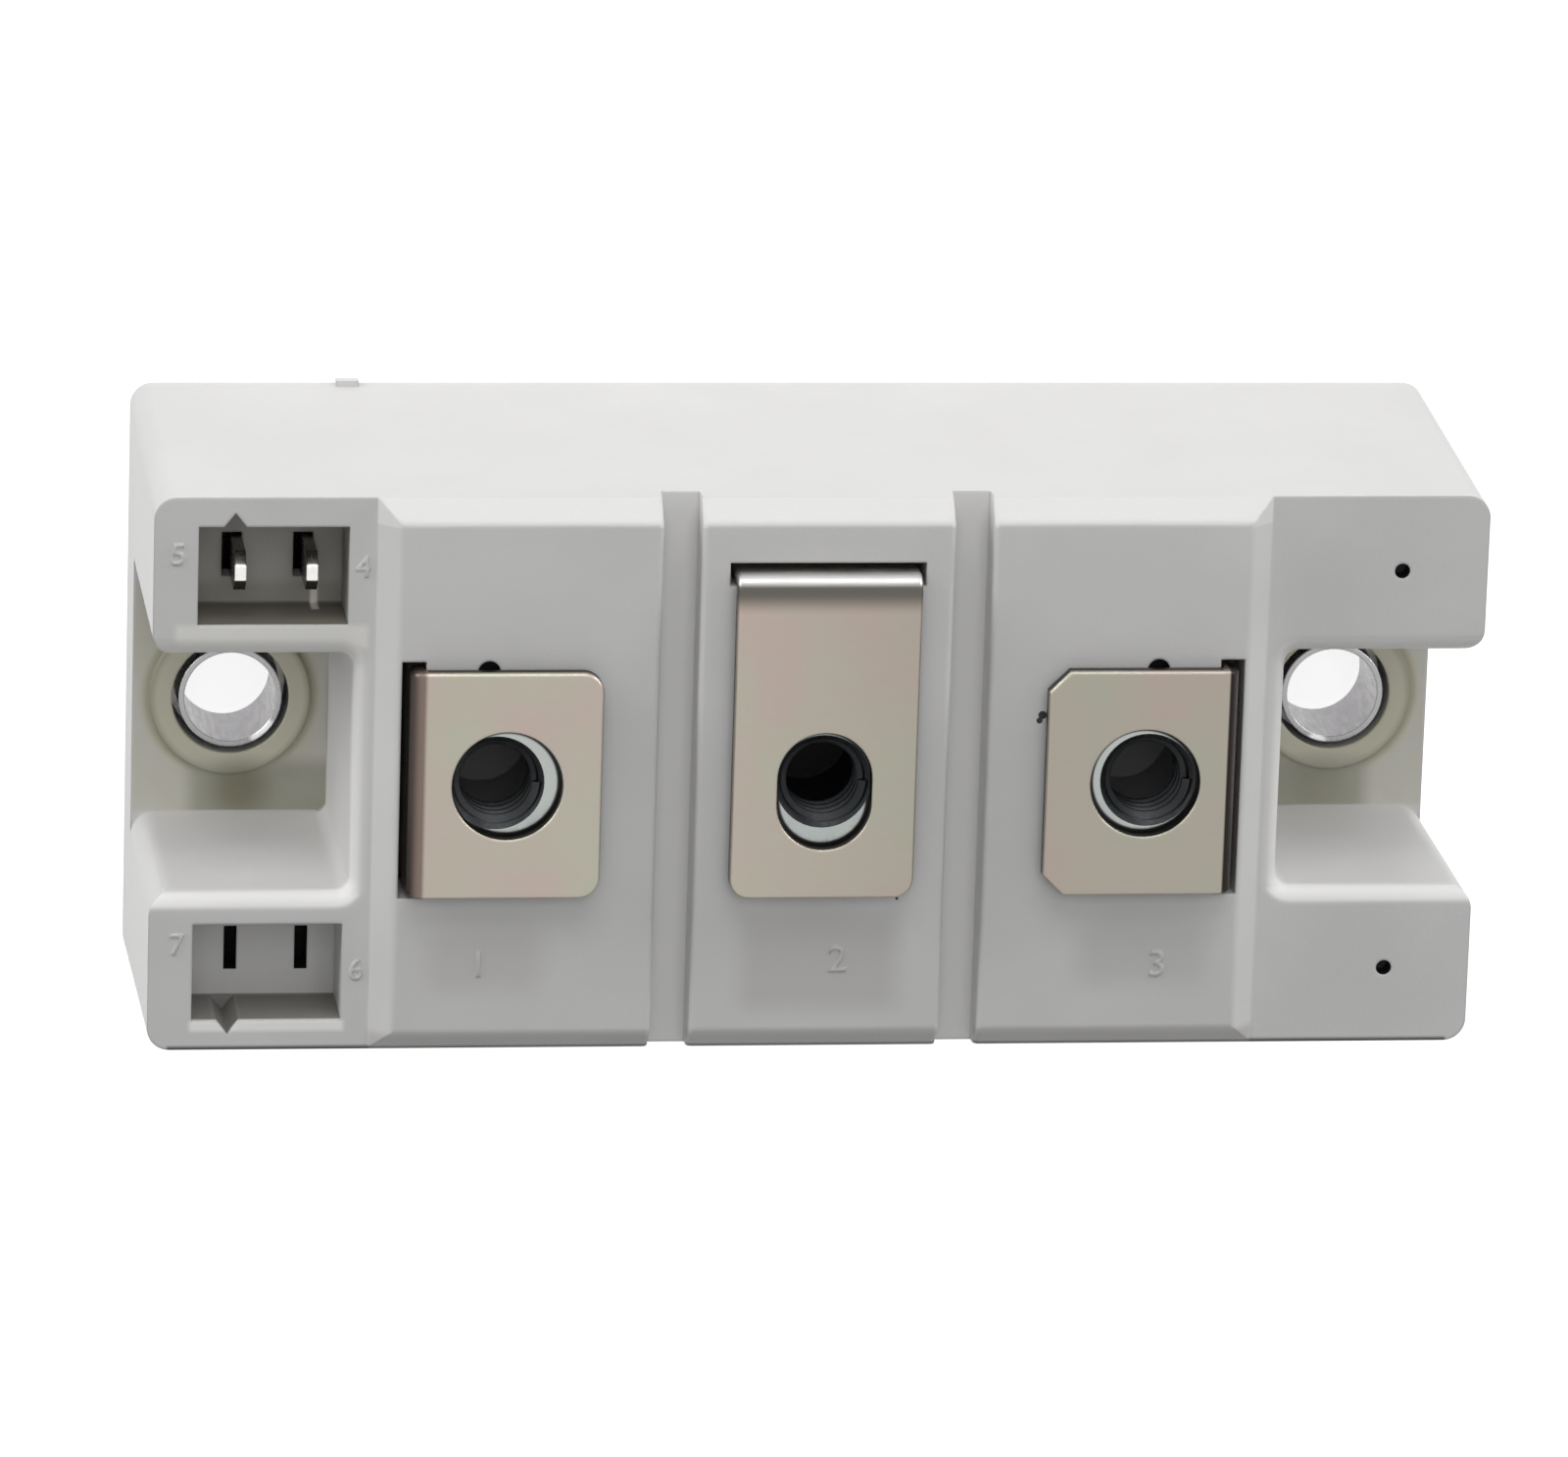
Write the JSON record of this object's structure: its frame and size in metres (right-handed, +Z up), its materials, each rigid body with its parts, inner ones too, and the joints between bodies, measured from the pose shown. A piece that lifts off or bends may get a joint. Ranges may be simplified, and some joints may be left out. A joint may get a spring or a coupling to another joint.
{
  "type": "diode thyristor module",
  "caption": "Flat plastic power module with screw terminals in a row on its deck, gate tabs in an end socket and a screw well at each end over a metal base plate.",
  "frame": {"origin": "middle of the underside of the base plate, on the surface of the heat sink", "axes": "+X along the module from the socket end to the plain end, +Y towards the side where the middle terminal's leg goes down and the gate tabs stand, +Z up from the heat sink to the terminals"},
  "size_m": [0.094, 0.0434, 0.0306],
  "materials": {
    "case_plastic": "fine matt moulded surface, light warm grey",
    "terminal_metal": "dull nickel plate on copper, slightly mottled",
    "nut_zinc": "bluish zinc plate",
    "sleeve_metal": "bright drawn tube",
    "base_nickel": "satin nickel plate on copper",
    "tab_tin": "tinned brass",
    "copper": "bare copper",
    "ceramic": "matt white alumina",
    "silicon": "dark polished chip",
    "lead_insulation": "soft sleeving",
    "seal": "cured silicone adhesive",
    "gel": "clear soft silicone",
    "resin": "black casting resin"
  },
  "bodies": {
    "root": {"housing": "case_plastic", "base_plate": "base_nickel", "seal_bead": "seal", "mount_sleeve_left": "sleeve_metal", "mount_sleeve_right": "sleeve_metal", "tile_left_lower_copper": "copper", "tile_left_ceramic": "ceramic", "tile_right_lower_copper": "copper", "tile_right_ceramic": "ceramic", "pad_anode": "copper", "pad_common_left": "copper", "pad_common_right": "copper", "pad_cathode": "copper", "thyristor_chip": "silicon", "diode_chip": "silicon", "clip_left": "copper", "clip_right": "copper", "terminal_left": "terminal_metal", "terminal_middle": "terminal_metal", "terminal_right": "terminal_metal", "nut_left": "nut_zinc", "nut_middle": "nut_zinc", "nut_right": "nut_zinc", "gate_tab": "tab_tin", "cathode_tab": "tab_tin", "gate_lead": "lead_insulation", "cathode_lead": "lead_insulation", "silicone_gel": "gel", "casting_resin": "resin"}
  },
  "joints": []
}
